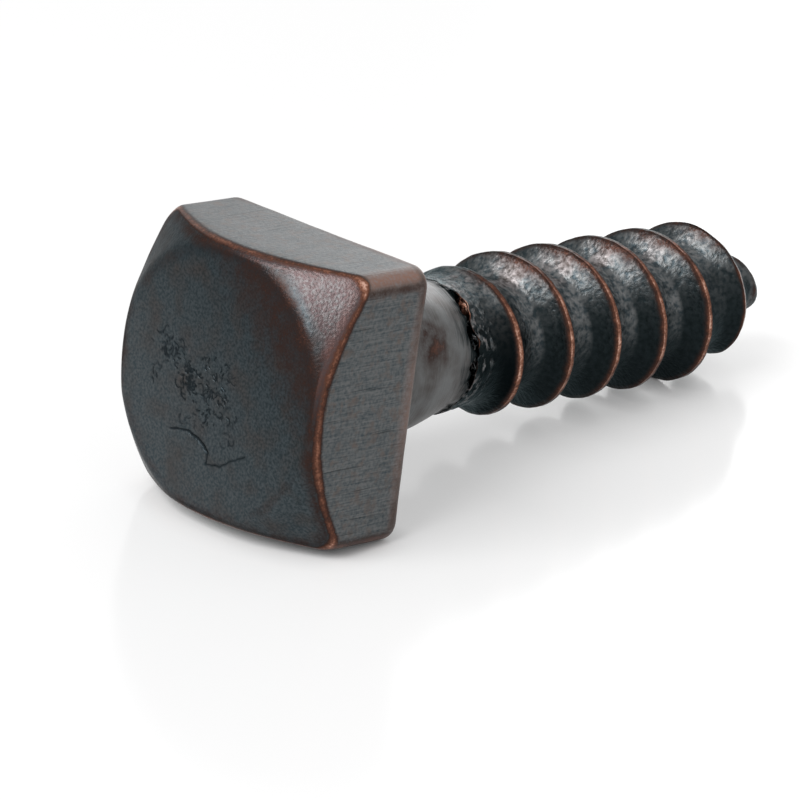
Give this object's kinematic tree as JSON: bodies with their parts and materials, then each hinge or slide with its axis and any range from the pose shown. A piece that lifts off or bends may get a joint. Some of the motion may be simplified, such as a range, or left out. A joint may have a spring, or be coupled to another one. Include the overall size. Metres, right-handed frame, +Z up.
{
  "type": "square head lag bolt",
  "caption": "Square head lag bolt with a plain shank, a coarse right-hand wood thread and a short blunt point, driven with a spanner into timber.",
  "frame": {"origin": "middle of the footprint's box, on the floor the bolt lies on", "axes": "+X from the head towards the tip, level with the floor; +Z up; the bolt's own axis dips towards the tip by 5.95 degrees"},
  "size_m": [0.0368, 0.0126, 0.0132],
  "materials": {
    "dark_bronze_steel": "dark bronzed steel, rubbed to copper colour along the edges and crests"
  },
  "bodies": {
    "root": {"bolt": "dark_bronze_steel"}
  },
  "joints": []
}
